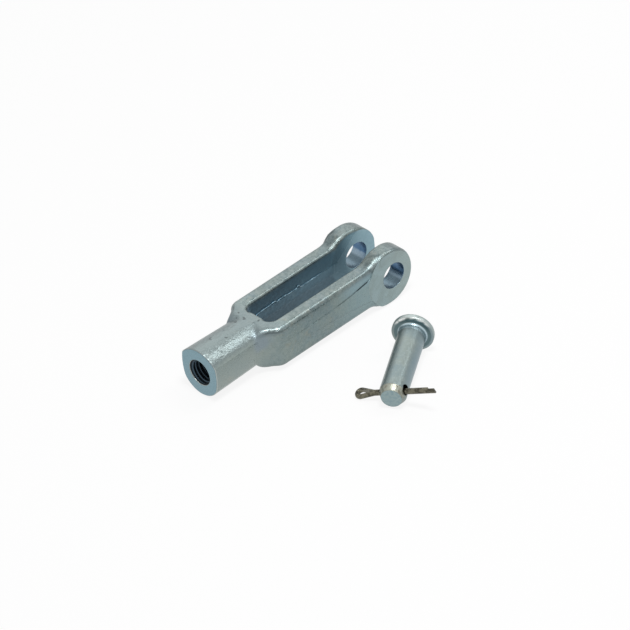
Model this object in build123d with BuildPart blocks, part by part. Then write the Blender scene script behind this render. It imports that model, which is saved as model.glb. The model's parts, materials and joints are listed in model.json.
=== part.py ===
import os
from math import asin, atan2, cos, degrees, hypot, radians, sin, sqrt, tan

from build123d import *

# Clevis rod end: a drop-forged yoke with an M10 tapped shank, its clevis pin and its split pin.
# The yoke was forged between two dies that part on the plane z = 0, trimmed, and then machined.
# Origin: centre of the pin bore, midway between the ears. X runs to the ear tips, Y is the bore's
# axis, Z is up. Nothing is assembled: all three pieces lie on one level floor below the origin.

# Yoke, overall
shank_reach = 82.43           # bore centre to the face of the shank
tip_reach = 9.07              # bore centre to the trimmed flat on the ear tips
arm_half_height = 8.25        # centre plane to the top of an arm
forged_width = 25.2           # over both arms, at the trimmed seam
ear_width = 25.1              # over both spot-faced ears

# Yoke, ears
bore_clearance = 0.2          # bore over the clevis pin
slot_width = 12.1             # between the milled inner faces of the ears
ear_radius = 11.05            # round of the ear seen from the side
ear_centre = -1.78            # front centre of that round, along X from the bore
ear_stretch = 1.15            # the ear's back centre lies this far behind the front one
ear_fillet = 7.0              # hollow where the arm rises into the ear
boss_radius = 11.8            # the boss on the outside of an ear reaches this far from the bore
spot_allowance = 0.5          # forged on each boss and faced off again
spot_margin = 0.3             # the facing cutter is this much larger than the boss

# Yoke, forging details
seam_half_height = 2.1        # the trimmed band runs this far above and below the parting plane
seam_step = 0.15              # how far the trimmed band stands proud of the arms,
seam_full = -40.0             # from here on; it is flush round the shoulders
seam_climb_start = -38.4      # towards the ears the band's edges climb from here on,
seam_climb_end = -6.4         # until they reach the bosses
seam_climb = 3.7
arm_draft = 3.0               # degrees
rim_fillet = 1.7              # outer edges of arms and ears
boss_fillet = 2.0             # outer edges of the bosses
inner_fillet = 1.0            # edges of the forged slot
tip_corner = 1.6              # upright corners of the ear tips

# Yoke, forged slot between the arms and the ears
slot_end = -53.7              # closed end at the parting plane, along X
slot_corner = 3.0
arm_gap = 12.8                # between the arms just above the trimmed land
slot_draft = 4.5              # degrees
slot_turn = -14.4             # from here on the forged walls close in towards the tips
slot_closing = 3.4            # degrees, each wall
slot_turn_radius = 60.0
slot_land_half_height = 1.9
slot_land_step = 0.1          # how far the trimmed land in the slot stands proud

# Yoke, shank
shank_height = 18.6           # over the crowns, at the end face
shank_width = 17.4            # over the bulged sides, at the end face
upper_corner = (8.35, 5.2)    # half width and height at which the upper crown meets a side there,
lower_corner = (7.9, 4.5)     # and the same on the rounder lower crown
shank_taper = 1.5             # degrees, slimmer towards the fork
crown_corner = 0.1608         # round where a crown meets a side, left at the slim end of the shank
crown_setback = 1.3           # the crown is level with the arms this far behind the slot,
crown_run = 10.0              # after bending down over this length
flare_angle = 47.3            # degrees, shoulder against the shank in plan
flare_setback = 5.2           # the shoulder leaves the side this far behind the slot
shoulder_fillet = 5.0         # outside corner of the shoulder
throat_fillet = 8.0           # hollow between shank and shoulder
heel_setback = 3.3            # behind the slot's end the top of the fork
heel_fillet = 6.0             # rounds over into the shank
end_chamfer = 0.3
thread_diameter = 10.0        # hole at the outside diameter of its M10 thread
thread_countersink = 0.2

# Clevis pin
pin_diameter = 9.84
pin_end_play = 3.3            # between the ears and the near side of the cross hole
head_overhang = 2.66          # head over the shank, on the radius
head_thickness = 2.65
head_round = 1.35
head_under_chamfer = 0.25
head_neck_fillet = 0.8
tip_chamfer = 1.2
tip_chamfer_length = 2.5
cross_hole_clearance = 1.7    # over the split pin
cross_hole_edge = 3.4         # centre of the cross hole to the tip
cross_hole_roll = 20.0        # degrees, the hole's rise above the floor's direction

# Split pin
cotter_diameter = 2.1         # both half-round legs together
cotter_gap = 0.1              # between the two flats
eye_bend = 1.25               # radius of the eye on its inside
cotter_neck_angle = 14.0      # degrees, each leg against the middle line as it opens to the eye
cotter_neck_radius = 3.0      # bend from a leg into the neck, on its flat
cotter_flat_roll = 80.0       # degrees, turn of the eye's plane from the cross hole's own plane
long_leg = 16.2               # past the pin's axis
short_leg = 13.1
lip_clearance = 0.07          # left between the split pin and the lips it leans on
eye_lean = (-0.93, 0.34)      # shares of the play in the hole, towards the tip and upwards,
leg_lean = (0.60, -0.44)      # where the split pin crosses the lip on the eye's and the legs' side

# Where the clevis pin lies: centre of the head's underside in plan, and the way it points
pin_place = (-16.69, -38.17)
pin_heading = -148.0          # degrees from +X, head to tip

# Yoke lying on the floor: it rests on the rounds of both ears and on the lower edge of its
# shank, so its own level frame is turned about the bore until those touch one plane.
end_half_height = shank_height / 2 - end_chamfer * tan(radians(shank_taper))
ear_back = ear_centre - ear_stretch
rest_span = shank_reach + ear_back - end_chamfer
lie_angle = degrees(asin(ear_radius / hypot(rest_span, end_half_height)) - atan2(end_half_height, rest_span))
floor_z = ear_back * sin(radians(lie_angle)) - ear_radius

bore_diameter = pin_diameter + bore_clearance
shank_length = shank_reach + slot_end - 0.5
crown_fillet = crown_corner + shank_length * tan(radians(shank_taper))
crown_foot = slot_end - crown_setback
crown_end = crown_foot - crown_run
crown_top = shank_height / 2 - (shank_reach + crown_end) * tan(radians(shank_taper))
crown_slope = (crown_top - arm_half_height) / crown_run
flare_start = slot_end - flare_setback
heel_end = slot_end - heel_setback - heel_fillet
seam_half_width = forged_width / 2
body_half_width = seam_half_width - seam_step
side_half_width = shank_width / 2 - (shank_reach + flare_start) * tan(radians(shank_taper))
flare_end = flare_start + (body_half_width - side_half_width) / tan(radians(flare_angle))
boss_half_width = ear_width / 2 + spot_allowance
above_parting = ear_radius + 1


# Fork in plan on its -Y side: shank, shoulder, then the arm and ear that are given.
def fork_line(*arm_points):
    return [
        (heel_end - 1, 0),
        (heel_end - 1, -side_half_width),
        (flare_start, -side_half_width),
        (flare_end, -body_half_width),
        *arm_points,
    ]


# Slot in plan, its walls moved in by one step: closed at the shank, and closing in to the tips.
def slot_line(step):
    half_width = arm_gap / 2 - step
    tip = tip_reach + 3
    tip_half_width = half_width - (tip - slot_turn) * tan(radians(slot_closing))
    return [
        (slot_end + step, 0),
        (slot_end + step, -half_width),
        (slot_turn, -half_width),
        (tip, -tip_half_width),
        (tip, 0),
    ]


# Outline of arms and ears seen from the side, with the heel that rounds over into the shank.
with BuildSketch(Plane.XZ) as side_view:
    with Locations(((heel_end + ear_centre) / 2, 0)):
        Rectangle(ear_centre - heel_end, 2 * arm_half_height)
    fillet(vertices().sort_by(Axis.X)[:2], heel_fillet)
    with Locations((ear_centre - ear_stretch / 2, 0)):
        SlotCenterToCenter(ear_stretch, 2 * ear_radius)
    hollows = vertices().filter_by(lambda v: abs(abs(v.Y) - arm_half_height) < 0.01)
    fillet(hollows.sort_by(Axis.X)[-2:], ear_fillet)

# What the forging's slot leaves open: drafted walls above the trimmed land, and the land itself.
with BuildPart() as slot_upper:
    with BuildSketch(Plane.XY.offset(slot_land_half_height)):
        with BuildLine():
            Polyline(*slot_line(0))
            mirror(about=Plane.XZ)
        make_face()
        fillet(vertices().filter_by_position(Axis.X, slot_end - 0.1, slot_end + 0.1), slot_corner)
        fillet(vertices().filter_by_position(Axis.X, slot_turn - 0.1, slot_turn + 0.1), slot_turn_radius)
    extrude(amount=above_parting, taper=-slot_draft)

with BuildPart() as slot_land:
    with BuildSketch(Plane.XY):
        with BuildLine():
            Polyline(*slot_line(slot_land_step))
            mirror(about=Plane.XZ)
        make_face()
        fillet(vertices().filter_by_position(Axis.X, slot_end, slot_end + 0.2), slot_corner)
        fillet(vertices().filter_by_position(Axis.X, slot_turn - 0.1, slot_turn + 0.1), slot_turn_radius)
    extrude(amount=slot_land_half_height, both=True)

# Fork, upper half above the seam: its plan, drafted from the seam up, under the side outline.
with BuildPart() as upper_half:
    with BuildSketch(Plane.XY.offset(seam_half_height)):
        with BuildLine():
            Polyline(*fork_line((tip_reach + 3, -body_half_width), (tip_reach + 3, 0)))
            mirror(about=Plane.XZ)
        make_face()
        fillet(vertices().filter_by_position(Axis.X, flare_end - 0.1, flare_end + 0.1), shoulder_fillet)
        fillet(vertices().filter_by_position(Axis.X, flare_start - 0.1, flare_start + 0.1), throat_fillet)
    extrude(amount=above_parting, taper=arm_draft)
    extrude(side_view.sketch, amount=forged_width, both=True, mode=Mode.INTERSECT)
    rims = upper_half.edges().filter_by(lambda e: abs(e.center().Y) > 0.2 * body_half_width)
    fillet(rims.filter_by(lambda e: e.center().Z > arm_half_height - 0.01), rim_fillet)
    add(slot_upper.part, mode=Mode.SUBTRACT)
    brim = upper_half.edges().filter_by(lambda e: abs(e.center().Y) < body_half_width - rim_fillet - 1)
    brim = brim.filter_by(lambda e: e.center().Z > arm_half_height - 0.01)
    fillet(brim, inner_fillet)

# Trimmed band round the fork at the seam. Its edges climb in an arc towards the ears.
with BuildPart() as seam_band:
    with BuildSketch(Plane.XY):
        with BuildLine():
            Polyline(
                *fork_line((seam_full, -seam_half_width), (tip_reach, -seam_half_width), (tip_reach, 0))
            )
            mirror(about=Plane.XZ)
        make_face()
        fillet(vertices().filter_by_position(Axis.X, flare_end - 0.1, flare_end + 0.1), shoulder_fillet)
        fillet(vertices().filter_by_position(Axis.X, flare_start - 0.1, flare_start + 0.1), throat_fillet)
        tips = vertices().filter_by(lambda v: v.X > tip_reach - 0.01 and abs(v.Y) > 1)
        fillet(tips, tip_corner)
    extrude(amount=arm_half_height, both=True)
    with BuildSketch(Plane.XZ):
        with BuildLine():
            Line((heel_end - 1, 0), (heel_end - 1, seam_half_height))
            Line((heel_end - 1, seam_half_height), (seam_climb_start, seam_half_height))
            climb_top = (seam_climb_end, seam_half_height + seam_climb)
            TangentArc((seam_climb_start, seam_half_height), climb_top, tangent=(1, 0))
            Polyline(climb_top, (seam_climb_end, seam_half_height), (tip_reach + 1, seam_half_height))
            Line((tip_reach + 1, seam_half_height), (tip_reach + 1, 0))
            mirror(about=Plane.XZ)
        make_face()
    extrude(amount=forged_width, both=True, mode=Mode.INTERSECT)
    add(slot_land.part, mode=Mode.SUBTRACT)
    add(slot_upper.part, mode=Mode.SUBTRACT)
    add(slot_upper.part.mirror(Plane.XY), mode=Mode.SUBTRACT)

# Bosses outside the ears, before they are faced.
with BuildPart() as bosses:
    extrude(side_view.sketch, amount=boss_half_width, both=True)
    fillet(bosses.faces().filter_by(Axis.Y).edges(), boss_fillet)
    with BuildSketch(Plane.XZ):
        Circle(boss_radius)
    extrude(amount=forged_width, both=True, mode=Mode.INTERSECT)
    with BuildSketch(Plane.XZ):
        Circle(boss_radius + 1)
    extrude(amount=boss_half_width - 2 * boss_fillet, both=True, mode=Mode.SUBTRACT)
    split(bisect_by=Plane.YZ.offset(tip_reach), keep=Keep.BOTTOM)

# Shank: round crowns and slightly bulged sides, slimmer towards the fork, where both crowns bend
# down to the level of the arms.
with BuildPart() as shank:
    with BuildSketch(Plane.YZ.offset(-shank_reach)):
        with BuildLine():
            side_foot = (lower_corner[0], -lower_corner[1])
            side_middle = (shank_width / 2, (upper_corner[1] - lower_corner[1]) / 2)
            TangentArc((0, shank_height / 2), upper_corner, tangent=(1, 0))
            ThreePointArc(upper_corner, side_middle, side_foot)
            TangentArc((0, -shank_height / 2), side_foot, tangent=(1, 0))
            mirror(about=Plane.YZ)
        make_face()
        fillet(vertices().filter_by(lambda corner: abs(corner.X) > 1), crown_fillet)
    extrude(amount=shank_length, taper=shank_taper)
    with BuildSketch(Plane.XZ):
        with BuildLine():
            Polyline(
                (crown_end, crown_top),
                (slot_end, arm_half_height - crown_slope * crown_setback),
                (slot_end, shank_height),
                (crown_end, shank_height),
                close=True,
            )
        make_face()
        mirror(about=Plane.XZ)
    extrude(amount=shank_width, both=True, mode=Mode.SUBTRACT)

# Whole forging.
with BuildPart() as forging:
    add(upper_half.part)
    mirror(about=Plane.XY)
    add(seam_band.part)
    add(shank.part)
    add(bosses.part)

    # Machining: the slot between the ears, the spot faces outside them, the bore through both.
    with BuildSketch(Plane.XY.offset(-above_parting)):
        with Locations((slot_turn, 0)):
            Rectangle(tip_reach - slot_turn + 1, slot_width, align=(Align.MIN, Align.CENTER))
    extrude(amount=2 * above_parting, mode=Mode.SUBTRACT)
    for outwards in (1, -1):
        with BuildSketch(Plane.XZ.offset(outwards * ear_width / 2)):
            Circle(boss_radius + spot_margin)
        extrude(amount=outwards * forged_width, mode=Mode.SUBTRACT)
    with BuildSketch(Plane.XZ):
        Circle(bore_diameter / 2)
    extrude(amount=forged_width, both=True, mode=Mode.SUBTRACT)

    # Shank: chamfered end, and the tapped hole that runs on into the slot.
    end_face = forging.faces().sort_by(Axis.X)[0]
    chamfer(end_face.edges(), end_chamfer)
    with BuildSketch(Plane.YZ.offset(-shank_reach)):
        Circle(thread_diameter / 2)
    extrude(amount=shank_reach + slot_end + slot_corner, mode=Mode.SUBTRACT)
    mouth = forging.faces().sort_by(Axis.X)[0].inner_wires()[0].edges()
    chamfer(mouth, thread_countersink)

with BuildPart() as yoke:
    add(forging.part, rotation=(0, -lie_angle, 0))
yoke.part.label = "yoke"

# Clevis pin: turned in one piece, then cross drilled. It lies on the rim of its head and on the
# edge of its tip.
pin_radius = pin_diameter / 2
head_radius = pin_radius + head_overhang
cross_hole_diameter = cotter_diameter + cross_hole_clearance
cross_hole_reach = ear_width + pin_end_play + cross_hole_diameter / 2
pin_length = cross_hole_reach + cross_hole_edge
pin_rest = pin_length - tip_chamfer_length + head_under_chamfer
pin_dip = degrees(atan2(head_radius - pin_radius, pin_rest))
under_head_z = floor_z + head_radius * cos(radians(pin_dip)) - head_under_chamfer * sin(radians(pin_dip))
heading = radians(pin_heading)
pin_axis = Vector(
    cos(heading) * cos(radians(pin_dip)),
    sin(heading) * cos(radians(pin_dip)),
    -sin(radians(pin_dip)),
)
legs_side = Vector(-sin(heading), cos(heading), 0)
pin_seat = Plane(origin=(*pin_place, under_head_z), x_dir=legs_side, z_dir=pin_axis)
pin_profile = Plane(origin=pin_seat.origin, x_dir=legs_side, z_dir=legs_side.cross(pin_axis))

with BuildPart() as clevis_pin:
    with BuildSketch(pin_profile):
        with BuildLine():
            Polyline(
                (0, -head_thickness),
                (head_radius, -head_thickness),
                (head_radius, 0),
                (pin_radius, 0),
                (pin_radius, pin_length - tip_chamfer_length),
                (pin_radius - tip_chamfer, pin_length),
                (0, pin_length),
                close=True,
            )
        make_face()
        rim = vertices().filter_by(lambda v: abs(v.X - head_radius) < 0.01).sort_by(Axis.Y)
        fillet(rim[0], head_round)
        rim = vertices().filter_by(lambda v: abs(v.X - head_radius) < 0.01).sort_by(Axis.Y)
        chamfer(rim[-1], head_under_chamfer)
        neck = vertices().filter_by(lambda v: abs(v.X - pin_radius) < 0.01 and abs(v.Y) < 0.01)
        fillet(neck, head_neck_fillet)
    revolve(axis=Axis(pin_seat.origin, pin_axis))
    hole_seat = Plane(
        origin=pin_seat.origin + pin_axis * cross_hole_reach,
        x_dir=pin_axis,
        z_dir=legs_side.rotate(Axis((0, 0, 0), pin_axis), cross_hole_roll),
    )
    with BuildSketch(hole_seat):
        Circle(cross_hole_diameter / 2)
    extrude(amount=pin_diameter, both=True, mode=Mode.SUBTRACT)
clevis_pin.part.label = "clevis_pin"

# Split pin, not yet spread: half-round wire bent back on itself round an eye. It leans askew on
# both lips of the cross hole, and the round of its eye lies on the floor.
wire_radius = cotter_diameter / 2
play = (cross_hole_diameter - cotter_diameter) / 2 - lip_clearance
hole_up = pin_axis.cross(hole_seat.z_dir)
eye_lip = hole_seat.z_dir * -pin_radius + (pin_axis * eye_lean[0] + hole_up * eye_lean[1]) * play
leg_lip = hole_seat.z_dir * pin_radius + (pin_axis * leg_lean[0] + hole_up * leg_lean[1]) * play
cotter_axis = (leg_lip - eye_lip).normalized()
flat_normal = pin_axis.rotate(Axis((0, 0, 0), cotter_axis), -cotter_flat_roll)
eye_plane_y = flat_normal.cross(cotter_axis).normalized()
eye_plane_z = cotter_axis.cross(eye_plane_y)
eye_height = floor_z + wire_radius + eye_bend * sqrt(1 - eye_plane_z.Z ** 2)
eye_reach = (hole_seat.origin.Z + eye_lip.Z - eye_height) / cotter_axis.Z
eye_centre = hole_seat.origin + eye_lip - cotter_axis * eye_reach
leg_zero = (hole_seat.origin - eye_centre).dot(cotter_axis)

with BuildPart() as split_pin:
    with BuildLine(Plane(origin=eye_centre, x_dir=cotter_axis, z_dir=eye_plane_z)):
        half_gap = cotter_gap / 2
        opening = radians(cotter_neck_angle)
        touch = (eye_bend * sin(opening), eye_bend * cos(opening))
        neck = (touch[0] + (touch[1] - half_gap) / tan(opening), half_gap)
        first_leg = FilletPolyline(
            (leg_zero + short_leg, half_gap), neck, touch, radius=cotter_neck_radius
        )
        ThreePointArc(touch, (-eye_bend, 0), (touch[0], -touch[1]))
        FilletPolyline(
            (touch[0], -touch[1]),
            (neck[0], -half_gap),
            (leg_zero + long_leg, -half_gap),
            radius=cotter_neck_radius,
        )
    with BuildSketch(Plane(origin=first_leg @ 0, x_dir=eye_plane_z, z_dir=-cotter_axis)):
        Circle(wire_radius)
        Rectangle(2 * wire_radius, wire_radius, align=(Align.CENTER, Align.MAX), mode=Mode.SUBTRACT)
    sweep()
split_pin.part.label = "split_pin"

os.makedirs("parts", exist_ok=True)
export_step(yoke.part, "parts/yoke.step")
export_step(clevis_pin.part, "parts/clevis_pin.step")
export_step(split_pin.part, "parts/split_pin.step")
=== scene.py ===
import json
import math
from functools import reduce
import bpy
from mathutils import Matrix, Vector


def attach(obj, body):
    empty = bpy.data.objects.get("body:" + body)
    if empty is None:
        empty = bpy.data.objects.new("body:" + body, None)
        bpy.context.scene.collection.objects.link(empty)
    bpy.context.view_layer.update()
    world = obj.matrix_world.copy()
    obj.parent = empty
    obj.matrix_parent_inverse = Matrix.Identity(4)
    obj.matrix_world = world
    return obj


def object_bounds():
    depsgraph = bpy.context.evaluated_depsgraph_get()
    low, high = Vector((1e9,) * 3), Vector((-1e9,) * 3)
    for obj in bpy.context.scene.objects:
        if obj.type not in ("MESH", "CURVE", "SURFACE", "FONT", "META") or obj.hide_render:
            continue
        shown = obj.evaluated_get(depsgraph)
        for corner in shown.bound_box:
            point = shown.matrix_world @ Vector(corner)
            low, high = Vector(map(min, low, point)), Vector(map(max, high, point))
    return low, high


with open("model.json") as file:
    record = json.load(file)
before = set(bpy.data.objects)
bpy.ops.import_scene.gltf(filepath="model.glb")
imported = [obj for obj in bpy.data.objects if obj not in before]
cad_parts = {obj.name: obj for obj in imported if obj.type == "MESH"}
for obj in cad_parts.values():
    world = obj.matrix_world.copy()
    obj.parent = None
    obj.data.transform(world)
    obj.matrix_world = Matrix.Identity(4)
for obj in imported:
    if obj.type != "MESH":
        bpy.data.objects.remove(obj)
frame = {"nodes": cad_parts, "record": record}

from types import SimpleNamespace

import bpy
import numpy as np
from mathutils import Matrix, Vector

# A clevis rod end on a pale floor: the forged yoke, its clevis pin and its split pin.
# Everything is in metres and the bore's centre is the origin. In the yoke's level frame x runs
# along its shank, y along the bore and z up. The yoke lies turned from it by lieAngle, shank down.

mm = 0.001
cadLow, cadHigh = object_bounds()
mounts = {row["name"]: row for row in frame["record"]["mounts"]}
threadAxis = Vector(mounts["rod_thread"]["axis"])
lieAngle = math.atan2(-threadAxis.z, -threadAxis.x)
lieTurn = (0, -lieAngle, 0)
floorHeight = cadLow.z
print("frame loaded, lie angle", round(math.degrees(lieAngle), 3))


# points of the level frame, turned to where the yoke lies
def laidDown(points):
    return points @ np.array(Matrix.Rotation(-lieAngle, 3, "Y")).T


# A Value is a node's output in shader maths, and a Finish is one material's nodes.
class Value:
    def __init__(self, finish, socket):
        self.finish = finish
        self.socket = socket

    def __getitem__(self, name):
        return Value(self.finish, self.socket.node.outputs[name])

    def math(self, operation, *others):
        return self.finish.math(operation, self, *others)

    def __add__(self, other):
        return self.math("ADD", other)

    def __sub__(self, other):
        return self.math("SUBTRACT", other)

    def __rsub__(self, other):
        return self.finish.math("SUBTRACT", other, self)

    def __mul__(self, other):
        return self.math("MULTIPLY", other)

    def __pow__(self, other):
        return self.math("POWER", other)

    def __abs__(self):
        return self.math("ABSOLUTE")

    __radd__ = __add__
    __rmul__ = __mul__


class Finish:
    def __init__(self, tree):
        self.tree = tree
        tree.nodes.clear()

    def node(self, kind, settings=None, sockets=None):
        made = self.tree.nodes.new(kind)
        for name, value in (settings or {}).items():
            setattr(made, name, value)
        for name, value in (sockets or {}).items():
            target = made.inputs[name]
            if isinstance(value, Value):
                self.tree.links.new(value.socket, target)
            elif value is not None:
                target.default_value = (*value, 1) if target.type == "RGBA" else value
        return Value(self, made.outputs[0]) if made.outputs else None

    def math(self, operation, *values):
        return self.node("ShaderNodeMath", {"operation": operation}, dict(enumerate(values)))

    def smaller(self, a, b):
        return self.math("MINIMUM", a, b)

    def larger(self, a, b):
        return self.math("MAXIMUM", a, b)

    def away(self, a, b):
        return (a * a + b * b) ** 0.5

    # 0 at low, 1 at high, smooth between them; it falls where low is the larger
    def ease(self, value, low, high):
        sockets = {"Value": value, "From Min": low, "From Max": high}
        return self.node("ShaderNodeMapRange", {"interpolation_type": "SMOOTHSTEP"}, sockets)

    # 1 where value is nothing and in a core about it, 0 beyond width either side
    def line(self, value, width, core=0.4):
        return 1 - self.ease(abs(value), width * core, width)

    # Masks of named zones. Each row names a place and the millimetres where it makes the zone 0 and
    # 1, and a zone's rows are multiplied.
    def zones(self, places, plan):
        masks = {}
        for name, rows in plan.items():
            eases = [self.ease(places[place], low * mm, high * mm) for place, low, high in rows]
            masks[name] = reduce(lambda one, other: one * other, eases)
        return SimpleNamespace(**masks)

    def noise(self, place, scale, detail=3, roughness=0.5, distortion=0, stretch=None):
        if stretch:
            place = self.node("ShaderNodeMapping", None, {"Vector": place, "Scale": stretch})
        sockets = {
            "Vector": place,
            "Scale": scale,
            "Detail": detail,
            "Roughness": roughness,
            "Distortion": distortion,
        }
        return self.node("ShaderNodeTexNoise", None, sockets)

    def noises(self, place, plan):
        return SimpleNamespace(**{name: self.noise(place, **row) for name, row in plan.items()})

    def mix(self, factor, a, b):
        return self.node("ShaderNodeMix", {"data_type": "RGBA"}, {0: factor, 6: a, 7: b})[2]

    # a tint is the share of it that shows where mask is 1, and its colour
    def lay(self, base, tint, mask):
        share, colour = tint
        return self.mix(mask * share, base, colour)

    # a patch is a tint that comes up as a noise goes from low to high
    def patch(self, base, row, noise, within=None):
        low, high, share, colour = row
        mask = self.ease(noise, low, high)
        return self.lay(base, (share, colour), mask if within is None else mask * within)

    # Object coordinates in a piece's own frame, which stands at location and is turned by rotation
    def seenFrom(self, location=(0, 0, 0), rotation=(0, 0, 0)):
        here = self.node("ShaderNodeTexCoord")["Object"]
        sockets = {"Vector": here, "Location": location, "Rotation": rotation}
        return self.node("ShaderNodeMapping", {"vector_type": "TEXTURE"}, sockets)

    def xyz(self, vector):
        parts = self.node("ShaderNodeSeparateXYZ", None, {0: vector})
        return parts["X"], parts["Y"], parts["Z"]

    # the surface's normal, turned near its edges as if they had this radius
    def rounded(self, radius, samples=6):
        return self.node("ShaderNodeBevel", {"samples": samples}, {"Radius": radius})

    def bump(self, height, distance, strength=1.0, normal=None):
        sockets = {"Height": height, "Distance": distance, "Strength": strength, "Normal": normal}
        return self.node("ShaderNodeBump", None, sockets)

    def surface(self, sockets):
        shader = self.node("ShaderNodeBsdfPrincipled", None, sockets)
        self.node("ShaderNodeOutputMaterial", None, {"Surface": shader})


def newFinish(name):
    material = bpy.data.materials.new(name)
    material.use_nodes = True
    return material, Finish(material.node_tree)


cameraPlan = {
    "focal": 7000.0,                 # in pixels of the frame
    "frame": 630,
    "sensor": 36,
    "azimuth": -42.0900,
    "elevation": 36.4192,
    "roll": -4.1710,
    "distance": 2438.357 * mm,
    "target": (-31.5075 * mm, 0.0, -0.6806 * mm),
    "targetPixel": (304.533, 303.652),
}


# right and up are the level camera's own, turned by the roll about the line of sight
def makeCamera(plan):
    azimuth = math.radians(plan["azimuth"])
    elevation = math.radians(plan["elevation"])
    back = Vector((
        math.sin(azimuth) * math.cos(elevation),
        -math.cos(azimuth) * math.cos(elevation),
        math.sin(elevation),
    ))
    turn = Matrix.Rotation(math.radians(plan["roll"]), 3, back)
    right = turn @ Vector((math.cos(azimuth), math.sin(azimuth), 0))
    up = back.cross(right)
    perPixel = plan["distance"] / plan["focal"]
    aside = (plan["targetPixel"][0] - plan["frame"] / 2) * perPixel
    below = (plan["targetPixel"][1] - plan["frame"] / 2) * perPixel
    data = bpy.data.cameras.new("camera")
    data.sensor_width = plan["sensor"]
    data.lens = plan["focal"] / plan["frame"] * plan["sensor"]
    camera = bpy.data.objects.new("camera", data)
    camera.matrix_world = Matrix((right, up, back)).transposed().to_4x4()
    camera.location = Vector(plan["target"]) + back * plan["distance"] - right * aside + up * below
    bpy.context.scene.collection.objects.link(camera)
    bpy.context.scene.camera = camera


makeCamera(cameraPlan)
print("camera placed")


stagePlan = {
    "floorSize": 3.0,
    "floorColour": (0.8, 0.8, 0.8),
    "white": (1, 1, 1),
    "shadow": 0.12,                  # how much of the floor's own shading shows
    "surroundings": 0.32,            # strength of the light from all round
    "lamps": (
        # name, place, size, watts; each lamp looks at the origin
        ("softboxTop", (-0.11, -0.22, 0.86), (0.24, 0.24), 5.2),
        ("softboxLong", (0.42, -0.14, 0.72), (0.16, 0.60), 1.6),
        ("softboxBack", (0.55, 0.60, 0.62), (0.7, 0.7), 1.3),
    ),
}


# 1 where a ray comes straight from the camera, or by way of metal or glass
def seenWhite(finish):
    path = finish.node("ShaderNodeLightPath")
    seen = finish.larger(path["Is Camera Ray"], path["Is Glossy Ray"])
    return finish.larger(seen, path["Is Transmission Ray"])


def makeFloor(plan):
    material, finish = newFinish("paleFloor")
    own = finish.node("ShaderNodeBsdfDiffuse", None, {"Color": plan["floorColour"]})
    white = finish.node("ShaderNodeEmission", None, {"Color": plan["white"], "Strength": 1.0})
    share = seenWhite(finish) * (1 - plan["shadow"])
    mixed = finish.node("ShaderNodeMixShader", None, {0: share, 1: own, 2: white})
    finish.node("ShaderNodeOutputMaterial", None, {"Surface": mixed})
    half = plan["floorSize"] / 2
    corners = [(-half, -half), (half, -half), (half, half), (-half, half)]
    mesh = bpy.data.meshes.new("floor")
    mesh.from_pydata([(x, y, floorHeight) for x, y in corners], [], [(0, 1, 2, 3)])
    mesh.materials.append(material)
    floor = bpy.data.objects.new("floor", mesh)
    bpy.context.scene.collection.objects.link(floor)


def makeLight(plan):
    world = bpy.data.worlds.new("surroundings")
    world.use_nodes = True
    sky = Finish(world.node_tree)
    level = seenWhite(sky) * (1 - plan["surroundings"]) + plan["surroundings"]
    light = sky.node("ShaderNodeBackground", None, {"Color": plan["white"], "Strength": level})
    sky.node("ShaderNodeOutputWorld", None, {"Surface": light})
    bpy.context.scene.world = world
    for name, place, size, watts in plan["lamps"]:
        data = bpy.data.lights.new(name, "AREA")
        data.shape = "RECTANGLE"
        data.size, data.size_y = size
        data.energy = watts
        lamp = bpy.data.objects.new(name, data)
        lamp.location = place
        lamp.rotation_euler = Vector(place).to_track_quat("Z", "Y").to_euler()
        bpy.context.scene.collection.objects.link(lamp)


makeFloor(stagePlan)
makeLight(stagePlan)
bpy.context.scene.view_settings.view_transform = "Standard"
print("stage set")


# a new piece of the object, from points on a grid and the faces between them
def addPiece(name, points, faces, material):
    mesh = bpy.data.meshes.new(name)
    mesh.from_pydata(points.reshape(-1, 3), [], faces)
    mesh.polygons.foreach_set("use_smooth", np.ones(len(mesh.polygons), bool))
    mesh.materials.append(material)
    piece = bpy.data.objects.new(name, mesh)
    bpy.context.scene.collection.objects.link(piece)
    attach(piece, "root")


# quads of a grid of rows by columns that closes on itself both ways, as a ring does
def ringFaces(rows, columns):
    row, column = np.meshgrid(np.arange(rows), np.arange(columns), indexing="ij")
    nextRow, nextColumn = (row + 1) % rows, (column + 1) % columns
    corners = (
        row * columns + column,
        row * columns + nextColumn,
        nextRow * columns + nextColumn,
        nextRow * columns + column,
    )
    return np.stack(corners, axis=-1).reshape(-1, 4)


# quads of a closed profile carried along a path, and one face on its first and on its last ring
def tubeFaces(rows, columns):
    quads = ringFaces(rows, columns)[: (rows - 1) * columns]
    first = np.arange(columns)[::-1].tolist()
    last = (np.arange(columns) + (rows - 1) * columns).tolist()
    return [*quads.tolist(), first, last]


# a CAD node keeps its mesh and gets a better material
def dress(node, material):
    materials = frame["nodes"][node].data.materials
    materials.clear()
    materials.append(material)


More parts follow.
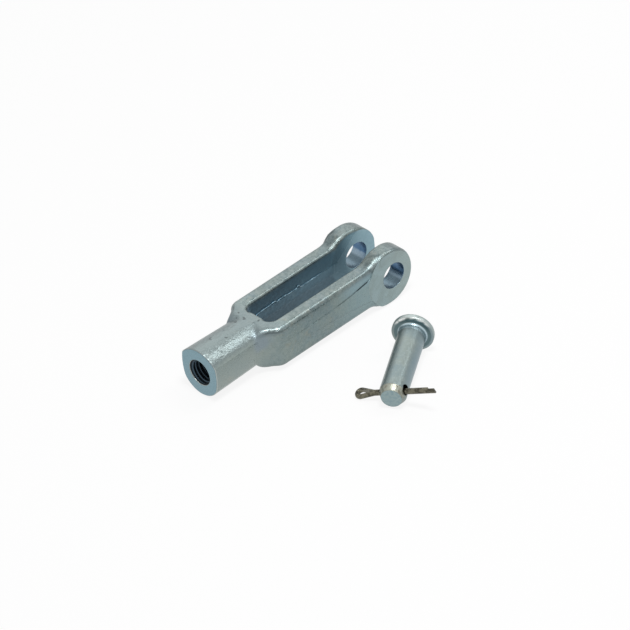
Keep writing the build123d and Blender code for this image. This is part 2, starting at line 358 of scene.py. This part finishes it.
yokePlan = {
    "forged": (0.210, 0.264, 0.252),
    # painted shade: the slot's inside, darker and bluer than the skin
    "slot": (0.108, 0.196, 0.256),
    "slotShare": 0.92,
    "faced": (0.280, 0.365, 0.375),
    "facedShare": 0.85,
    # painted shade on the milled faces inside the slot, painted light towards the ear's tip
    "milled": (0.102, 0.176, 0.214),
    "milledTip": (0.275, 0.412, 0.465),
    "milledShare": 0.90,
    # painted light and shade in the bore: lighter low, darker and bluer high
    "boreLow": (0.125, 0.180, 0.215),
    "boreHigh": (0.085, 0.165, 0.275),
    # painted shade along the seam
    "dark": (0.020, 0.028, 0.032),
    "metallic": 0.92,
    "roughness": 0.32,
    "roughSpread": 0.40,             # by the mottling
    "crownRough": 0.02,
    "slotRough": 0.12,
    "noises": {
        "clouds": dict(scale=120, roughness=0.55),
        "tint": dict(scale=230, roughness=0.6, distortion=0.6),
        "mottle": dict(scale=800, roughness=0.65),
        "grain": dict(scale=2400, roughness=0.7),
        "ragged": dict(scale=420, detail=2),
        "pits": dict(scale=520, detail=1),
        "wrinkles": dict(scale=300, detail=2, roughness=0.55, distortion=1.8, stretch=(0.6, 1, 1)),
    },
    # where a noise starts and is full, share, colour
    "patches": {
        "blue": (0.38, 0.62, 1.00, (0.183, 0.246, 0.254)),
        "straw": (0.56, 0.74, 0.45, (0.265, 0.262, 0.205)),
        "pale": (0.42, 0.70, 0.38, (0.360, 0.390, 0.380)),
        "dull": (0.58, 0.30, 0.55, (0.100, 0.130, 0.135)),
        "slotDark": (0.30, 0.70, 0.50, (0.045, 0.075, 0.100)),
        "slotPale": (0.50, 0.75, 0.50, (0.125, 0.180, 0.200)),
        "facedDull": (0.35, 0.65, 0.50, (0.210, 0.264, 0.252)),
        "pits": (0.66, 0.73, 0.60, (0.020, 0.028, 0.032)),
    },
    # share, colour
    "tints": {
        "shank": (0.58, (0.300, 0.345, 0.325)),
        "stain": (0.60, (0.215, 0.270, 0.320)),
        "sheen": (0.50, (0.215, 0.325, 0.390)),
        "ears": (0.55, (0.245, 0.355, 0.380)),
        "ridge": (0.33, (0.076, 0.086, 0.089)),
        # painted shade towards the bottom
        "foot": (0.30, (0.075, 0.095, 0.100)),
        # painted light: the slot lighter and bluer towards the ears
        "slotBlue": (0.48, (0.150, 0.275, 0.350)),
        # painted shade: the slot darker towards its foot
        "slotFoot": (1.00, (0.036, 0.068, 0.092)),
        # painted light on the faced rounds towards the ear's tip
        "facedPale": (0.45, (0.360, 0.420, 0.395)),
        # painted highlight on the chamfers round the shank's end
        "lip": (0.60, (0.460, 0.500, 0.490)),
        "endFace": (1.00, (0.205, 0.322, 0.370)),
        # painted reflection along the bore's wall
        "streak": (0.55, (0.360, 0.470, 0.560)),
        # painted shade in the crease under the shoulder's brim
        "crease": (0.65, (0.020, 0.028, 0.032)),
        "crown": (0.52, (0.132, 0.167, 0.180)),
    },
    # place, millimetres where it makes the zone 0 and 1
    "zones": {
        "endFace": (("x", -82.35, -82.41),),
        "lip": (("x", -82.07, -82.13),),
        "bore": (("ring", 5.08, 5.03),),
        "boreHigh": (("z", -3.6, -1.6),),
        "faced": (("side", 12.50, 12.53), ("ring", 12.1, 12.0)),
        "facedPale": (("x", -7, 9),),
        "milled": (("side", 6.10, 6.06), ("x", -14.4, -12.4)),
        "ear": (("side", 7.2, 6.8), ("x", -18, -14), ("earRing", 10.6, 9.4)),
        "tip": (("lean", -7, 1),),
        "slot": (("side", 7.2, 6.7), ("x", -54.6, -53.8), ("high", 8.05, 6.35)),
        "slotBlue": (("x", -40, -18),),
        "slotFoot": (("z", 2.5, -4),),
        "slotEars": (("x", -54, -30),),
        "brim": (("high", 5, 8),),
        "shank": (("x", -46, -66),),
        "stain": (("stainRing", 4.5, 1.5),),
        "sheen": (("x", -28, -18), ("x", -9, -12)),
        "ears": (("x", -34, -14),),
        "ridge": (("z", 5.5, 7.8), ("x", -56, -44)),
        "foot": (("z", -4.5, -8.6),),
        "crown": (("z", 5.2, 6.6), ("x", -50, -56)),
        "crease": (("x", -61, -59), ("x", -53, -55), ("side", 8, 9)),
        "seam": (("side", 12.2, 12.4), ("x", -50, -36)),
        "seamDeep": (("x", -21, -17), ("x", -11.5, -13.5)),
        "seamFine": (("x", -31, -25),),
        "seamUpper": (("z", 0, 1),),
        "boss": (("x", -15, -9), ("x", 0, -3), ("z", 5.6, 7.4)),
        "neck": (("x", -69, -65), ("x", -54, -59), ("z", 4, 6)),
    },
    "earCentre": -1.8 * mm,
    "lean": 0.15,                    # of the line between the milled faces' painted shade and painted light, off the upright
    "stainPlace": (-60 * mm, 4.6 * mm),
    "stainRagged": 9 * mm,
    "brimShare": 0.5,                # of pale and dull patches away from the brims
    "footFade": 0.25,                # of the slot's painted shade at its foot, taken off towards the ears
    "sheenLine": (5.2 * mm, 2.6 * mm),           # height, half width
    "streakLine": (-2.9 * mm, 1.2 * mm),
    "streakRagged": 0.6 * mm,
    "creaseLine": (7.0 * mm, 0.4 * mm),
    "creaseRagged": 0.8 * mm,
    "seamHeight": 2.1 * mm,
    "seamWidth": 0.22 * mm,
    "seamRagged": 0.5 * mm,
    "seamShares": (0.80, 0.55, 0.34),            # of its deep, fine and faint stretches
    "seamFaint": (0.40, 0.56),
    "climbStart": -38.4 * mm,        # where the seam starts to climb to the ear
    "climbEnd": -6.4 * mm,
    "climbRadius": 140.2 * mm,
    "edgeRound": 0.45 * mm,
    "brimRound": 2.2 * mm,           # at the ears' brims and the shank's neck
    "pitting": 0.065 * mm,
    "cloudHeight": 1.2,              # in the pitting, where the mottling's height is 1
    "grainHeight": 0.30,
    "crownGrain": -0.22,             # added to the grain's on the crown
    "machinedGrain": 0.10,
    "toolGrain": 0.6,                # in the tool marks, where the rings' height is 1
    "wrinkles": 0.56 * mm,
    "wrinkleStrength": 0.45,
    "toolMarks": 0.004 * mm,
    "toolWaves": 9500,               # radians a metre
}


# Places to tell zones by: the level x and z, the distances from the middle plane both ways, and the
# distances from the bore's axis, from the ear's centre and, ragged by the clouds, from the stain's.
def yokePlaces(finish, plan, here, noises):
    x, y, z = finish.xyz(here)
    stainX, stainZ = plan["stainPlace"]
    stainRing = finish.away(x - stainX, z - stainZ) + (noises.clouds - 0.5) * plan["stainRagged"]
    return {
        "x": x,
        "z": z,
        "side": abs(y),
        "high": abs(z),
        "ring": finish.away(x, z),
        "earRing": finish.away(x - plan["earCentre"], z),
        "lean": x + z * plan["lean"],
        "stainRing": stainRing,
    }


# a level line at a height, made ragged by the mottling
def raggedLine(finish, z, row, noises, ragged):
    height, width = row
    return finish.line(z - height + (noises.mottle - 0.5) * ragged, width)


# forged skin: clouds, stains and mottling, tinted by zones along the shank, the arms and the ears,
# with a painted sheen above the seam and painted shade towards the bottom
def skinColour(finish, plan, z, at, noises):
    patches, tints = plan["patches"], plan["tints"]
    brim = at.brim * (1 - plan["brimShare"]) + plan["brimShare"]
    sheenHeight, sheenWidth = plan["sheenLine"]
    sheen = finish.line(z - sheenHeight, sheenWidth) * at.sheen
    colour = finish.patch(plan["forged"], patches["blue"], noises.clouds)
    colour = finish.patch(colour, patches["straw"], noises.tint)
    colour = finish.patch(colour, patches["pale"], noises.mottle, brim)
    colour = finish.patch(colour, patches["dull"], noises.mottle, brim)
    colour = finish.lay(colour, tints["shank"], at.shank)
    colour = finish.lay(colour, tints["stain"], at.stain)
    colour = finish.lay(colour, tints["sheen"], sheen)
    colour = finish.lay(colour, tints["ears"], at.ears * (1 - at.ridge))
    colour = finish.lay(colour, tints["ridge"], at.ridge)
    # painted shade towards the bottom
    return finish.lay(colour, tints["foot"], at.foot)


# inside of the slot in painted shade, darker and bluer than the skin: dark mottling, painted light
# bluer towards the ears and painted shade darker towards its foot
def slotColour(finish, plan, at, noises):
    patches, tints = plan["patches"], plan["tints"]
    colour = finish.patch(plan["slot"], patches["slotDark"], noises.mottle)
    colour = finish.patch(colour, patches["slotPale"], noises.tint)
    colour = finish.lay(colour, tints["slotBlue"], at.slotBlue)
    foot = at.slotFoot * (1 - at.slotEars * plan["footFade"])
    return finish.lay(colour, tints["slotFoot"], foot)


# bore's wall in painted light and shade, lighter low and darker and bluer high, with a painted
# reflection along it where they meet
def boreColour(finish, plan, z, at, noises):
    colour = finish.mix(at.boreHigh, plan["boreLow"], plan["boreHigh"])
    streak = raggedLine(finish, z, plan["streakLine"], noises, plan["streakRagged"])
    return finish.lay(colour, plan["tints"]["streak"], streak)


# Painted shade along the edge of the trimmed band on the arms: a level line, then an arc that rises
# by its run squared over twice its radius. The shade is deep where it nears an ear, fine before
# that, and faint and broken elsewhere.
def seamShadeMask(finish, plan, places, at, noises):
    length = plan["climbEnd"] - plan["climbStart"]
    run = finish.smaller(finish.larger(places["x"] - plan["climbStart"], 0), length)
    edge = run * run * (0.5 / plan["climbRadius"]) + plan["seamHeight"]
    ragged = (noises.ragged - 0.5) * plan["seamRagged"]
    seam = finish.line(places["high"] - edge + ragged, plan["seamWidth"]) * at.seam
    deepShare, fineShare, faintShare = plan["seamShares"]
    fine = at.seamFine * (1 - at.seamDeep) * at.seamUpper * fineShare
    faint = finish.ease(noises.tint, *plan["seamFaint"]) * faintShare
    return seam * (at.seamDeep * at.seamUpper * deepShare + finish.larger(fine, faint))


# Pitting is a sum of clouds, mottling and grain. Wrinkles are kept to the shank's crown, and rings
# about the bore, a sine of the distance from its axis, to the faced rounds.
def forgedNormal(finish, plan, places, at, noises, skin):
    grain = noises.grain * (plan["grainHeight"] + at.crown * plan["crownGrain"])
    height = noises.mottle + grain + noises.clouds * plan["cloudHeight"]
    pitting = height * skin + noises.grain * (1 - skin) * plan["machinedGrain"]
    wrinkles = noises.wrinkles * at.crown * skin
    rings = (places["ring"] * plan["toolWaves"]).math("SINE") + noises.grain * plan["toolGrain"]
    edges = finish.rounded(plan["edgeRound"])
    brims = finish.rounded(plan["brimRound"], samples=8)
    normal = finish.mix(finish.larger(at.boss, at.neck), edges, brims)
    normal = finish.bump(pitting, plan["pitting"], 1.0, normal)
    normal = finish.bump(wrinkles, plan["wrinkles"], plan["wrinkleStrength"], normal)
    return finish.bump(rings * at.faced, plan["toolMarks"], 1.0, normal)


# Zinc plating on a forging: its skin, over that the slot in painted shade and the machined faces,
# then painted shade along the seam and in a crease under the shoulder's brim, and the shank's crown
# with its pits.
def forgedZinc(plan):
    material, finish = newFinish("forgedZinc")
    here = finish.seenFrom(rotation=lieTurn)
    noises = finish.noises(here, plan["noises"])
    places = yokePlaces(finish, plan, here, noises)
    at = finish.zones(places, plan["zones"])
    z, tints, patches = places["z"], plan["tints"], plan["patches"]
    machined = finish.larger(finish.larger(at.endFace, at.bore), finish.larger(at.faced, at.milled))
    skin = 1 - machined
    inSlot = finish.larger(at.slot, at.ear)

    faced = finish.patch(plan["faced"], patches["facedDull"], noises.tint)
    # painted light towards the ear's tip
    faced = finish.lay(faced, tints["facedPale"], at.facedPale)
    # painted shade inside the slot, painted light towards the ear's tip
    milled = finish.mix(at.tip, plan["milled"], plan["milledTip"])
    inside = slotColour(finish, plan, at, noises)
    colour = skinColour(finish, plan, z, at, noises)
    # painted shade over the slot's inside
    colour = finish.mix(inSlot * plan["slotShare"], colour, inside)
    colour = finish.mix(at.faced * plan["facedShare"], colour, faced)
    colour = finish.mix(finish.larger(at.milled, at.ear) * plan["milledShare"], colour, milled)
    # painted highlight on the chamfers round the shank's end
    colour = finish.lay(colour, tints["lip"], at.lip * (1 - at.endFace))
    colour = finish.lay(colour, tints["endFace"], at.endFace)
    colour = finish.mix(at.bore, colour, boreColour(finish, plan, z, at, noises))
    # painted shade along the seam
    seam = seamShadeMask(finish, plan, places, at, noises) * skin
    colour = finish.mix(seam, colour, plan["dark"])
    # painted shade in the crease under the shoulder's brim
    crease = raggedLine(finish, z, plan["creaseLine"], noises, plan["creaseRagged"])
    colour = finish.lay(colour, tints["crease"], crease * at.crease)
    colour = finish.lay(colour, tints["crown"], at.crown * skin)
    colour = finish.patch(colour, patches["pits"], noises.pits, at.crown * skin)

    spread = (noises.mottle - 0.5) * plan["roughSpread"]
    zoned = at.crown * plan["crownRough"] + inSlot * plan["slotRough"]
    finish.surface({
        "Base Color": colour,
        "Metallic": plan["metallic"],
        "Roughness": plan["roughness"] + spread + zoned,
        "Normal": forgedNormal(finish, plan, places, at, noises, skin),
    })
    return material


dress("yoke", forgedZinc(yokePlan))
print("yoke finished")


threadPlan = {
    "start": -82.15 * mm,            # just inside the countersunk mouth
    "end": -54.0 * mm,
    "pitch": 1.5 * mm,
    "root": 4.985 * mm,
    "crest": 4.19 * mm,
    "buried": 5.03 * mm,             # back of the sleeve, in the steel
    "crestFlat": 0.25,               # in half pitches, as is the flank
    "flank": 0.62,
    "fade": 0.6,                     # in pitches, at both ends
    "around": 96,
    "perPitch": 14,
    # painted shade inside the tapped hole
    "crestColour": (0.056, 0.088, 0.116),
    "rootColour": (0.004, 0.008, 0.012),
    "deepShare": 0.9,
    "shade": (0.85, 0.2),            # least, and how much the grain adds
    "metallic": 0.85,
    "roughness": (0.30, 0.2),
    "relief": 0.02 * mm,
    "noises": {"grain": dict(scale=1800, roughness=0.6)},
    "zones": {
        "root": (("reach", 4.34, 4.835),),
        "deep": (("x", -81.15, -76.15),),
    },
}


# Tapped thread, a sleeve round x: its radius goes from crest to root and back once a pitch, by the
# distance from the crest's helix, with a flat on each, and fades to the root at both ends.
def threadSleeve(plan):
    start, end, pitch = plan["start"], plan["end"], plan["pitch"]
    x = np.linspace(start, end, int((end - start) / pitch * plan["perPitch"]))[:, None]
    angle = np.linspace(2 * np.pi, 0, plan["around"], endpoint=False)[None, :]
    phase = (x - start) / pitch - angle / (2 * np.pi)
    away = np.abs(phase - np.floor(phase) - 0.5) * 2
    ridge = 1 - np.clip((away - plan["crestFlat"]) / plan["flank"], 0, 1)
    ends = np.minimum(x - start, end - x) / (plan["fade"] * pitch)
    radius = plan["root"] - (plan["root"] - plan["crest"]) * ridge * np.clip(ends, 0, 1)
    radius = np.vstack([radius, np.full((2, plan["around"]), plan["buried"])])
    x = np.vstack([x, [[end]], [[start]]]) + 0 * angle
    return laidDown(np.stack([x, radius * np.cos(angle), radius * np.sin(angle)], axis=-1))


# painted shade: lighter on the crests, near black in the roots and deep in the hole
def tappedSteel(plan):
    material, finish = newFinish("tappedSteel")
    here = finish.seenFrom(rotation=lieTurn)
    x, y, z = finish.xyz(here)
    at = finish.zones({"x": x, "reach": finish.away(y, z)}, plan["zones"])
    grain = finish.noises(here, plan["noises"]).grain
    leastShade, grainShade = plan["shade"]
    leastRough, grainRough = plan["roughness"]
    # painted shade in the roots and deep in the hole
    shade = finish.larger(at.root, at.deep * plan["deepShare"]) * (leastShade + grain * grainShade)
    finish.surface({
        "Base Color": finish.mix(shade, plan["crestColour"], plan["rootColour"]),
        "Metallic": plan["metallic"],
        "Roughness": leastRough + grain * grainRough,
        "Normal": finish.bump(grain, plan["relief"]),
    })
    return material


sleeve = threadSleeve(threadPlan)
sleeveFaces = ringFaces(*sleeve.shape[:2])
addPiece("tapped_thread", sleeve, sleeveFaces, tappedSteel(threadPlan))
print("thread cut,", len(sleeveFaces), "faces")


trimPlan = {
    "wall": 6.31 * mm,               # inner side of an arm at the trimmed land
    "height": 0.22 * mm,
    "width": 0.24 * mm,
    "step": 0.15 * mm,
    "profile": 12,
    "wander": 0.05 * mm,             # off the line, by these waves in radians a millimetre
    "wanderWaves": (2.9, 1.1),
    "swell": 0.28,                   # of the thickness, by these
    "swellWaves": (1.7, 0.63),
    "taper": 2 * mm,
    "thinnest": 0.1,
    # level x and z of the ragged line that the trimming left, on the arm at +y and at -y
    "farLine": (
        (-50.0, 1.75), (-47.4, 2.15), (-44.9, 2.32), (-42.1, 2.42), (-39.5, 2.80), (-38.6, 1.95),
        (-37.8, 1.98), (-36.7, 2.42), (-32.9, 2.15), (-29.2, 2.12), (-28.4, 2.86), (-27.8, 2.80),
        (-27.1, 1.90), (-26.4, 1.66), (-23.3, 1.70), (-19.2, 1.82), (-16.5, 2.00),
    ),
    "nearLine": (
        (-49.0, 1.70), (-44.0, 1.95), (-40.5, 1.60), (-39.6, 2.10), (-33.0, 1.95), (-30.5, 2.20),
        (-24.0, 1.90), (-23.0, 1.55), (-18.0, 1.80), (-14.5, 1.90),
    ),
    # painted highlight on the fin's proud side
    "bright": (0.330, 0.450, 0.510),
    # the slot's colour, in painted shade
    "dull": (0.108, 0.196, 0.256),
    "brightRange": (0.30, 0.55),     # of the grain, from dull to bright
    "metallic": 0.9,
    "roughness": (0.30, 0.2),        # least, and how much the grain adds
    "relief": 0.03 * mm,
    "noises": {"grain": dict(scale=1500, roughness=0.6)},
    "zones": {"proud": (("side", 6.31, 6.09),)},
}


# A fin along the wall: an ellipse of half width and height, carried along a line of x and z, that
# thins to a point at both ends, and wanders and swells on the way by products of two sines of x.
def trimFin(plan, line, outwards):
    knots = np.array(line) * mm
    x = np.arange(knots[0, 0], knots[-1, 0], plan["step"])
    z = np.interp(x, knots[:, 0], knots[:, 1])
    fast, slow = plan["wanderWaves"]
    z = z + plan["wander"] * np.sin(x / mm * fast) * np.sin(x / mm * slow + 1)
    fast, slow = plan["swellWaves"]
    waves = np.sin(x / mm * fast) * np.sin(x / mm * slow + 2)
    thick = 1 - plan["swell"] + plan["swell"] * waves
    thick = thick * np.clip(np.minimum(x - x[0], x[-1] - x) / plan["taper"], plan["thinnest"], 1)
    angle = np.linspace(0, 2 * np.pi, plan["profile"], endpoint=False) * outwards
    y = -outwards * (plan["wall"] - plan["height"] * thick[:, None] * np.cos(angle))
    across = z[:, None] + plan["width"] * thick[:, None] * np.sin(angle)
    return laidDown(np.stack([x[:, None] + 0 * angle, y, across], axis=-1))


# painted highlight on its proud side, broken by the grain, with the slot's colour in painted shade
# in its hollows
def trimmedEdge(plan):
    material, finish = newFinish("trimmedEdge")
    here = finish.seenFrom(rotation=lieTurn)
    side = abs(finish.xyz(here)[1])
    at = finish.zones({"side": side}, plan["zones"])
    grain = finish.noises(here, plan["noises"]).grain
    leastRough, grainRough = plan["roughness"]
    bright = at.proud * finish.ease(grain, *plan["brightRange"])
    finish.surface({
        "Base Color": finish.mix(bright, plan["dull"], plan["bright"]),
        "Metallic": plan["metallic"],
        "Roughness": leastRough + grain * grainRough,
        "Normal": finish.bump(grain, plan["relief"]),
    })
    return material


trimmed = trimmedEdge(trimPlan)
for finName, finLine, outwards in (("trim_far", "farLine", -1), ("trim_near", "nearLine", 1)):
    fin = trimFin(trimPlan, trimPlan[finLine], outwards)
    addPiece(finName, fin, tubeFaces(*fin.shape[:2]), trimmed)
print("trim lines laid")


pinPlan = {
    "place": (-16.69 * mm, -38.17 * mm),         # centre of the head's underside
    "heading": -148.0,
    "radius": 4.92 * mm,
    "headRadius": 7.58 * mm,
    "rimBack": 0.25 * mm,            # from the head's underside back to its widest ring
    "length": 33.7 * mm,
    "chamferLength": 2.5 * mm,
    "colour": (0.215, 0.254, 0.242),
    "disc": (0.305, 0.390, 0.390),
    # painted highlight on the chamfer, with wear
    "chamfer": (0.330, 0.345, 0.290),
    "metallic": 0.92,
    "roughness": 0.33,
    "roughSpread": 0.20,             # by the mottling
    "discRough": 0.06,
    "chamferRough": 0.08,
    "noises": {
        "clouds": dict(scale=150, roughness=0.55),
        "rings": dict(scale=3200, roughness=0.7, stretch=(0.02, 0.02, 1)),
        "mottle": dict(scale=1100, roughness=0.6),
        "grain": dict(scale=3000, detail=2, roughness=0.6),
        "nicks": dict(scale=620, detail=2),
        "facets": dict(scale=330, detail=1, roughness=0.4, stretch=(1, 1, 0.1)),
        "dents": dict(scale=420, detail=2, stretch=(1, 1, 0.15)),
    },
    # where a noise starts and is full, share, colour
    "patches": {
        "blue": (0.35, 0.65, 1.00, (0.180, 0.230, 0.238)),
        "pale": (0.50, 0.72, 0.25, (0.360, 0.420, 0.420)),
        "grooves": (0.45, 0.75, 0.22, (0.120, 0.160, 0.165)),
        "discDark": (0.35, 0.65, 1.00, (0.235, 0.325, 0.350)),
        "discBlue": (0.35, 0.65, 0.50, (0.275, 0.365, 0.375)),
        "worn": (0.55, 0.40, 0.50, (0.200, 0.180, 0.140)),
        "nicks": (0.60, 0.68, 0.80, (0.110, 0.085, 0.055)),
        # painted highlights on the head's rim
        "facets": (0.38, 0.54, 1.00, (0.900, 0.920, 0.900)),
    },
    # share, colour
    "tints": {
        # painted reflection: bluer on the pin's right side
        "side": (0.45, (0.215, 0.310, 0.365)),
        "head": (0.80, (0.330, 0.385, 0.375)),
        # painted shade on the head's underside
        "under": (0.90, (0.100, 0.155, 0.165)),
        # painted reflection: a light blue ring on the neck's fillet
        "neck": (0.80, (0.500, 0.630, 0.690)),
        # painted shade inside the cross hole
        "hole": (1.00, (0.004, 0.005, 0.006)),
    },
    # place, millimetres where it makes the zone 0 and 1
    "zones": {
        "disc": (("z", 33.64, 33.68),),
        "chamfer": (("z", 31.15, 31.35), ("z", 33.68, 33.64)),
        "chamferTop": (("y", -1.5, 1.5),),
        "hole": (("reach", 4.90, 4.82), ("z", 31.3, 31.2), ("z", 20, 21)),
        "side": (("x", 2.6, 4.8),),
        "neck": (("z", 0.05, 0.20), ("z", 2.7, 1.7), ("reach", 5.42, 5.22)),
        "under": (
            ("z", -0.30, -0.02), ("z", 0.3, 0.02),
            ("reach", 5.32, 5.52), ("reach", 6.92, 6.42),
        ),
        "head": (("z", 0.1, -0.2),),
        "facets": (("y", 3.3, 5.4), ("z", -1.5, -0.7), ("z", 0.2, 0.05)),
    },
    "chamferShares": (0.30, 0.85),   # of the worn colour with its painted highlight, below and on top
    "facetLine": (6.73 * mm, 1.0 * mm),          # distance from the axis, half width
    "turning": 0.0035 * mm,
    "skin": 0.008 * mm,
    "grainHeight": 0.2,              # where the mottling's is 1
    "dents": 0.35 * mm,
    "dentStrength": 0.6,
    "discDents": 0.3,
    "edgeRound": 0.85 * mm,
}


# The pin's own frame: z runs from the head's underside to the tip and dips until both are down.
def pinFrame(plan):
    rest = plan["length"] - plan["chamferLength"] + plan["rimBack"]
    dip = math.atan2(plan["headRadius"] - plan["radius"], rest)
    heading = math.radians(plan["heading"])
    along = Vector((
        math.cos(heading) * math.cos(dip),
        math.sin(heading) * math.cos(dip),
        -math.sin(dip),
    ))
    aside = Vector((-math.sin(heading), math.cos(heading), 0))
    height = floorHeight + plan["headRadius"] * math.cos(dip) - plan["rimBack"] * math.sin(dip)
    turn = Matrix((aside, along.cross(aside), along)).transposed()
    return (*plan["place"], height), tuple(turn.to_euler())


# Zones by the distance along the axis and from it. Turned rings are a noise drawn out round the
# axis, the chamfer has a painted highlight, stronger on top, with worn patches, nicks and dents,
# and the head's rim has painted highlights on top. The pin's right side and its neck have painted
# reflection, and the head's underside and the cross hole painted shade.
def turnedZinc(plan):
    material, finish = newFinish("turnedZinc")
    here = finish.seenFrom(*pinFrame(plan))
    x, y, z = finish.xyz(here)
    reach = finish.away(x, y)
    at = finish.zones({"x": x, "y": y, "z": z, "reach": reach}, plan["zones"])
    noises = finish.noises(here, plan["noises"])
    patches, tints = plan["patches"], plan["tints"]

    disc = finish.patch(plan["disc"], patches["discDark"], noises.mottle)
    disc = finish.patch(disc, patches["discBlue"], noises.clouds)
    worn = finish.patch(plan["chamfer"], patches["worn"], noises.mottle)
    worn = finish.patch(worn, patches["nicks"], noises.nicks)
    below, top = plan["chamferShares"]
    facetReach, facetWidth = plan["facetLine"]
    facets = finish.line(reach - facetReach, facetWidth) * at.facets
    colour = finish.patch(plan["colour"], patches["blue"], noises.clouds)
    colour = finish.patch(colour, patches["pale"], noises.mottle)
    colour = finish.patch(colour, patches["grooves"], noises.rings)
    # painted reflection: bluer on the pin's right side
    colour = finish.lay(colour, tints["side"], at.side)
    colour = finish.mix(at.disc, colour, disc)
    # painted highlight on the chamfer, stronger on top, with wear, nicks and dents
    colour = finish.mix(at.chamfer * (at.chamferTop * (top - below) + below), colour, worn)
    colour = finish.lay(colour, tints["head"], at.head)
    # painted highlights on the head's rim
    colour = finish.patch(colour, patches["facets"], noises.facets, facets)
    # painted shade on the head's underside
    colour = finish.lay(colour, tints["under"], at.under)
    # painted reflection: a light blue ring on the neck's fillet
    colour = finish.lay(colour, tints["neck"], at.neck)
    # painted shade inside the cross hole
    colour = finish.lay(colour, tints["hole"], at.hole)

    height = noises.mottle + noises.grain * plan["grainHeight"]
    dents = noises.dents * (at.chamfer + at.disc * plan["discDents"])
    normal = finish.bump(noises.rings, plan["turning"], 1.0, finish.rounded(plan["edgeRound"]))
    normal = finish.bump(height, plan["skin"], 1.0, normal)
    normal = finish.bump(dents, plan["dents"], plan["dentStrength"], normal)
    spread = (noises.mottle - 0.5) * plan["roughSpread"]
    zoned = at.disc * plan["discRough"] + at.chamfer * plan["chamferRough"]
    finish.surface({
        "Base Color": colour,
        "Metallic": plan["metallic"],
        "Roughness": plan["roughness"] + spread + zoned,
        "Normal": normal,
    })
    return material


dress("clevis_pin", turnedZinc(pinPlan))
print("clevis pin finished")


wirePlan = {
    "colour": (0.150, 0.143, 0.106),
    "metallic": 0.9,
    "roughness": (0.12, 0.16),       # least, and how much the specks add
    "relief": 0.012 * mm,
    "edgeRound": 0.3 * mm,
    "noises": {
        "specks": dict(scale=1700, roughness=0.65),
        "clouds": dict(scale=500, detail=2),
    },
    # where a noise starts and is full, share, colour
    "patches": {
        "dark": (0.40, 0.60, 0.70, (0.014, 0.013, 0.009)),
        "pale": (0.48, 0.72, 0.35, (0.340, 0.325, 0.260)),
    },
}


# dull wire with dark clouds and pale specks from noise, its edges rounded by their shading
def drawnWire(plan):
    material, finish = newFinish("drawnWire")
    noises = finish.noises(finish.seenFrom(), plan["noises"])
    leastRough, speckRough = plan["roughness"]
    colour = finish.patch(plan["colour"], plan["patches"]["dark"], noises.clouds)
    colour = finish.patch(colour, plan["patches"]["pale"], noises.specks)
    edges = finish.rounded(plan["edgeRound"])
    finish.surface({
        "Base Color": colour,
        "Metallic": plan["metallic"],
        "Roughness": leastRough + noises.specks * speckRough,
        "Normal": finish.bump(noises.specks, plan["relief"], 1.0, edges),
    })
    return material


dress("split_pin", drawnWire(wirePlan))
print("split pin finished")
